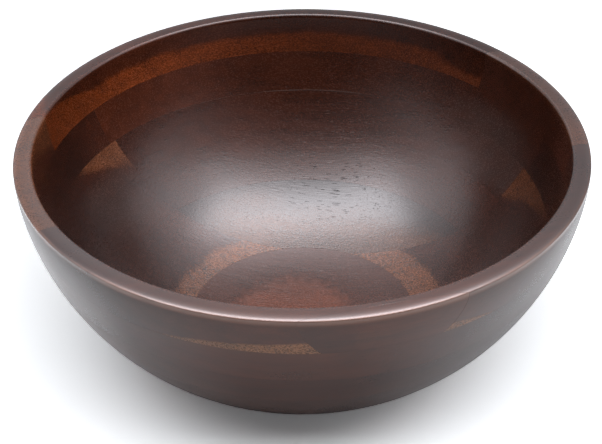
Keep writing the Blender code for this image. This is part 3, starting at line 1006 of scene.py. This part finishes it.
def board_material(name, angle):
    """Stained and lacquered wood of one board, with its grain along the board."""
    shape, finish = bpy.context.scene.bowl_shape, bpy.context.scene.bowl_finish
    look = {**PLAIN, **BOARDS[name]}
    layer, part = name.split("_")
    top = -LAYERS.index(layer) * shape.layer
    material = bpy.data.materials.new(name + "_wood")
    material.use_nodes = True
    tree = material.node_tree

    place = node(tree, "ShaderNodeTexCoord").outputs["Object"]
    place = node(tree, "ShaderNodeMapping", {"Vector": place, "Location": (0.0, 0.0, -shape.height),
                                             "Rotation": (0.0, 0.0, -angle)}).outputs["Vector"]
    axis = node(tree, "ShaderNodeSeparateXYZ", {0: place}).outputs
    outside = node(tree, "ShaderNodeAttribute", attribute_name="outside").outputs["Fac"]
    grain = place_group(tree, "Board Grain", grain_group, (place, LAYERS.index(layer) + SEEDS[part]))

    tone = board_tone(tree, look["tones"], axis["Y" if part in {"left", "right"} else "X"])
    if "fall" in look:
        tone = maths(tree, 'MULTIPLY', tone, ramp(tree, axis["Z"], top, top - shape.layer, 1.0, look["fall"]))
    pores = USUAL_PORES
    if "open" in look:
        patch = place_group(tree, "Stain Patch", patch_group, (place, *look["open"]))["Mask"]
        pores = ramp(tree, patch, 0.0, 1.0, USUAL_PORES, OPEN_PORES)
    stain = {
        "Heartwood": [look["deep"] * c for c in getattr(finish, look["heart"])] + [1.0],
        "Sapwood": (*getattr(finish, look["sap"]), 1.0), "Sapwood Mask": sapwood_mask(tree, look, place),
        "Worn": (*finish.edge_wear, 1.0), "Tone": tone,
        "Pores": maths(tree, 'MULTIPLY', grain["Pores"], pores),
        "Fleck": painted_glints(tree, look, place, axis, top, grain["Fleck"]),
        "Speckling": look["speckling"], "Streaking": look["streaking"],
        "Roughness": finish.roughness, "Lacquer": finish.lacquer, "Outside": outside,
        "Outside Roughness": finish.outside_roughness, "Outside Lacquer": finish.outside_lacquer,
        "Outside Tone": finish.outside_tone}
    for key in ("Streak", "Fibre", "Speckle", "Blotch"):
        stain[key] = grain[key]
    if layer == "rim":
        edge = place_group(tree, "Rim Edge", rim_edge_group, {
            "Height": axis["Z"], "Outside": outside, "Blotch": grain["Blotch"], "Wear": look["wear"],
            "Outer Tone": look["top"][0], "Inner Tone": look["top"][1], "Lacquer": finish.lacquer,
            "Rim Lacquer": finish.rim_lacquer, "Edge Lacquer": finish.edge_lacquer,
            "Outside Lacquer": finish.outside_lacquer})
        stain["Tone"] = maths(tree, 'MULTIPLY', tone, edge["Tone"])
        for key in ("Wear", "Lacquer", "Outside Lacquer"):
            stain[key] = edge[key]
    wood = place_group(tree, "Stained Board", stain_group, stain)

    colour = wood["Color"]
    # Painted sheen: a faint grey added to the colour of some boards in the hollow, standing in for gloss
    if "haze" in look:
        amount, *limits = look["haze"]
        places = [value for along, start, end in limits for value in (axis[along], start, end)]
        colour = place_group(tree, "Grey Haze", painted_sheen_group, (colour, outside, amount, *places))["Color"]
    bump = node(tree, "ShaderNodeBump",
                {"Strength": 1.0, "Distance": finish.pore_depth, "Height": wood["Height"]})
    fill_in(tree, tree.nodes["Principled BSDF"], {
        "Base Color": colour, "Roughness": wood["Roughness"], "IOR": WOOD_IOR,
        "Specular IOR Level": look["gloss"], "Coat Weight": wood["Coat"],
        "Coat Roughness": finish.lacquer_roughness, "Normal": bump.outputs["Normal"]})
    return material


def fit_board(name, node_name, mesh, angle):
    """Put a board in the scene in place of its node."""
    piece = bpy.data.objects.new(name, mesh)
    bpy.context.scene.collection.objects.link(piece)
    mesh.materials.append(board_material(name, angle))
    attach(piece, "root")
    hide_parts(node_name)


def ring_boards(index):
    """The back, left, right and front boards of a ring layer, and the thin strip in front of the rim."""
    shape = bpy.context.scene.bowl_shape
    layer = LAYERS[index]
    angle = shape.stack_grain if index else shape.rim_grain
    square = angle + math.pi / 2.0
    gap = shape.glue_line / 2.0
    rear = shape.rear_joints[index]
    front = rear - shape.board_width
    sides = ring_sides(shape, index)
    raised = ring_sides(shape, index, shape.proud if layer == "third" else 0.0)

    def joint(distance, turns=1.0, whole=0.0):
        return lambda radius: whole + turns * np.arccos(distance / radius)

    for part, faces, begin, end in (
            ("back", raised, joint(rear + gap, -1.0), joint(rear + gap)),
            ("left", sides, joint(rear - gap), joint(front + gap)),
            ("right", sides, joint(front + gap, -1.0), joint(rear - gap, -1.0))):
        name = layer + "_" + part
        fit_board(name, name + "_board", arc_board(name, *faces, square, begin, end), angle)
    name = layer + "_front"
    ends = joint(front - gap), joint(front - gap, -1.0, 2.0 * math.pi)
    if index:
        mesh = arc_board(name, *sides, square, *ends)
    else:
        cut = shape.rim_radius - shape.edge_strip
        mesh = notched_board(name, *sides, square, *ends, cut - gap)
        fit_board("rim_edge", "rim_edge_strip", strip_board("rim_edge", sides[0], square, cut + gap), angle)
    fit_board(name, name + "_board", mesh, angle)


class BOWL_OT_rim_boards(bpy.types.Operator):
    """Build the rim layer: four boards and the thin strip at the front"""
    bl_idname = "bowl.rim_boards"
    bl_label = "Rim Boards"

    def execute(self, context):
        ring_boards(0)
        return {'FINISHED'}


class BOWL_OT_wall_boards(bpy.types.Operator):
    """Build the four ring layers of the wall, each of four boards"""
    bl_idname = "bowl.wall_boards"
    bl_label = "Wall Boards"

    def execute(self, context):
        for index in range(1, LAYERS.index("base")):
            ring_boards(index)
        return {'FINISHED'}


class BOWL_OT_base_boards(bpy.types.Operator):
    """Build the three boards of the base layer"""
    bl_idname = "bowl.base_boards"
    bl_label = "Base Boards"

    def execute(self, context):
        shape = context.scene.bowl_shape
        square = shape.stack_grain + math.pi / 2.0
        rear = shape.rear_joints[LAYERS.index("base")]
        front = rear - shape.board_width
        reach = shape.rim_radius
        for part, near, far in (("back", rear, reach), ("centre", front, rear), ("front", -reach, front)):
            name = "base_" + part
            fit_board(name, name + "_board", base_board(shape, name, square, near, far), shape.stack_grain)
        return {'FINISHED'}


class BOWL_OT_studio(bpy.types.Operator):
    """Set up the pale floor, the soft light and the camera"""
    bl_idname = "bowl.studio"
    bl_label = "Studio"

    def execute(self, context):
        studio = context.scene.bowl_studio
        self.floor(studio)
        self.lights(studio)
        self.surround(studio)
        self.camera(studio)
        context.scene.view_settings.view_transform = 'Standard'
        return {'FINISHED'}

    def floor(self, studio):
        """A wide flat floor: pale, brighter to the camera, with painted shade and painted light in
        reflections, and white beyond the view.
        """
        mesh = bpy.data.meshes.new("floor")
        corners = FLOOR_REACH * np.array(
            [(-1.0, -1.0, 0.0), (1.0, -1.0, 0.0), (1.0, 1.0, 0.0), (-1.0, 1.0, 0.0)])
        mesh.from_pydata(corners, [], [(0, 1, 2, 3)])
        floor = bpy.data.objects.new("floor", mesh)
        bpy.context.scene.collection.objects.link(floor)
        material = bpy.data.materials.new("pale_floor")
        material.use_nodes = True
        tree = material.node_tree
        tree.nodes.clear()
        path = node(tree, "ShaderNodeLightPath").outputs
        place = vector_maths(tree, 'MULTIPLY', node(tree, "ShaderNodeTexCoord").outputs["Object"],
                             (1.0, 1.0, 0.0))
        away = node(tree, "ShaderNodeVectorMath", {0: place}, operation='LENGTH').outputs["Value"]
        aside = maths(tree, 'DIVIDE', node(tree, "ShaderNodeSeparateXYZ", {0: place}).outputs["X"], away)
        # In reflections the floor's colour carries painted shade near the bowl and far away, and painted
        # light on its sides
        level = maths(tree, 'MULTIPLY', ramp(tree, away, *FLOOR_SHADE), ramp(tree, away, *FLOOR_FALL))
        sides = ramp(tree, maths(tree, 'ABSOLUTE', aside), *SIDES_START)
        sides = maths(tree, 'MULTIPLY', sides, ramp(tree, away, *FLOOR_SIDES))
        turn = maths(tree, 'ADD', ramp(tree, aside, *SIDES_LEFT), ramp(tree, aside, *SIDES_RIGHT))
        sides = maths(tree, 'MULTIPLY_ADD', sides, turn, 1.0)
        level = maths(tree, 'MULTIPLY', maths(tree, 'MULTIPLY', level, studio.floor_mirrored), sides)
        mirrored = vector_maths(tree, 'MULTIPLY', level, FLOOR_TINT)
        colour = blend(tree, path["Is Glossy Ray"], (*studio.floor, 1.0), mirrored)
        colour = blend(tree, path["Is Camera Ray"], colour,
                       [studio.floor_shown * c for c in studio.floor] + [1.0])
        surface = node(tree, "ShaderNodeBsdfDiffuse", {"Color": colour})
        white = node(tree, "ShaderNodeEmission", {"Color": (1.0, 1.0, 1.0, 1.0), "Strength": 1.0})
        far = maths(tree, 'MULTIPLY', path["Is Camera Ray"], ramp(tree, away, *FLOOR_WHITE))
        surface = node(tree, "ShaderNodeMixShader", {0: far, 1: surface.outputs[0], 2: white.outputs[0]})
        node(tree, "ShaderNodeOutputMaterial", {"Surface": surface.outputs[0]})
        mesh.materials.append(material)

    def lights(self, studio):
        """A wide softbox over the bowl and two weak fills; reflections show the surroundings' soft light."""
        for name, (place, aim, size, share) in LAMPS.items():
            data = bpy.data.lights.new(name, 'AREA')
            data.shape = 'RECTANGLE'
            data.size, data.size_y = size
            data.energy = share * studio.softbox
            light = bpy.data.objects.new(name, data)
            light.matrix_world = Matrix.Translation(place) @ (Vector(place) - Vector(aim)).to_track_quat(
                'Z', 'Y').to_matrix().to_4x4()
            light.visible_camera = False
            light.visible_glossy = False
            bpy.context.scene.collection.objects.link(light)

    def surround(self, studio):
        """White surroundings, dimmer on the camera's side, with the soft light overhead in reflections."""
        world = bpy.data.worlds.new("surround")
        bpy.context.scene.world = world
        world.use_nodes = True
        tree = world.node_tree
        tree.nodes.clear()
        direction = node(tree, "ShaderNodeTexCoord").outputs["Generated"]
        axis = node(tree, "ShaderNodeSeparateXYZ", {0: direction}).outputs
        level = ramp(tree, axis["Y"], *SURROUND_START, 0.0, studio.surround)
        rise = maths(tree, 'MAXIMUM', axis["Z"], LEAST_RISE)
        overhead = vector_maths(tree, 'DIVIDE', direction, rise)
        light = 0.0
        for spot in SHEEN:
            shown = place_group(tree, "Soft Spot", spot_group, (overhead, *spot))["Light"]
            light = maths(tree, 'ADD', light, shown)
        share = maths(tree, 'ADD', ramp(tree, axis["Z"], *LOW_SHARE), ramp(tree, axis["Z"], *HIGH_SHARE))
        mirrored = maths(tree, 'MULTIPLY', level, share)
        mirrored = maths(tree, 'MULTIPLY_ADD', light, studio.sheen, mirrored)
        path = node(tree, "ShaderNodeLightPath").outputs
        level = between(tree, path["Is Glossy Ray"], level, mirrored)
        level = between(tree, path["Is Camera Ray"], level, 1.0)
        colour = blend(tree, path["Is Glossy Ray"], (1.0, 1.0, 1.0, 1.0), (*studio.sheen_tint, 1.0))
        background = node(tree, "ShaderNodeBackground", {"Color": colour, "Strength": level})
        node(tree, "ShaderNodeOutputWorld", {"Surface": background.outputs[0]})

    def camera(self, studio):
        """Camera at the place and angles of the view."""
        data = bpy.data.cameras.new("camera")
        data.sensor_width = SENSOR_WIDTH
        data.lens = studio.camera_lens
        camera = bpy.data.objects.new("camera", data)
        bpy.context.scene.collection.objects.link(camera)
        turn = (Matrix.Rotation(-studio.camera_yaw, 4, 'Z')
                @ Matrix.Rotation(math.pi / 2.0 - studio.camera_pitch, 4, 'X')
                @ Matrix.Rotation(studio.camera_roll, 4, 'Z'))
        camera.matrix_world = Matrix.Translation(studio.camera_place) @ turn
        bpy.context.scene.camera = camera


class BOWL_PT_panel(bpy.types.Panel):
    """Sizes, colours and build steps of the bowl"""
    bl_idname = "BOWL_PT_panel"
    bl_label = "Turned Wooden Bowl"
    bl_space_type = 'VIEW_3D'
    bl_region_type = 'UI'
    bl_category = "Bowl"

    def draw(self, context):
        for title, settings in (("Shape", context.scene.bowl_shape), ("Finish", context.scene.bowl_finish),
                                ("Studio", context.scene.bowl_studio)):
            box = self.layout.box()
            box.label(text=title)
            for key in settings.bl_rna.properties.keys():
                if key not in {"rna_type", "name"}:
                    box.prop(settings, key)
        for operator in OPERATORS:
            self.layout.operator(operator.bl_idname)


OPERATORS = (BOWL_OT_studio, BOWL_OT_rim_boards, BOWL_OT_wall_boards, BOWL_OT_base_boards)
GROUPS = {"bowl_shape": BowlShape, "bowl_finish": BowlFinish, "bowl_studio": BowlStudio}


def register():
    for kind in (*GROUPS.values(), *OPERATORS, BOWL_PT_panel):
        bpy.utils.register_class(kind)
    for key, kind in GROUPS.items():
        setattr(bpy.types.Scene, key, PointerProperty(type=kind))


def unregister():
    for key in GROUPS:
        delattr(bpy.types.Scene, key)
    for kind in reversed((*GROUPS.values(), *OPERATORS, BOWL_PT_panel)):
        bpy.utils.unregister_class(kind)


def main():
    register()
    bpy.ops.bowl.studio()
    bpy.ops.bowl.rim_boards()
    bpy.ops.bowl.wall_boards()
    bpy.ops.bowl.base_boards()


if __name__ == "__main__":
    main()
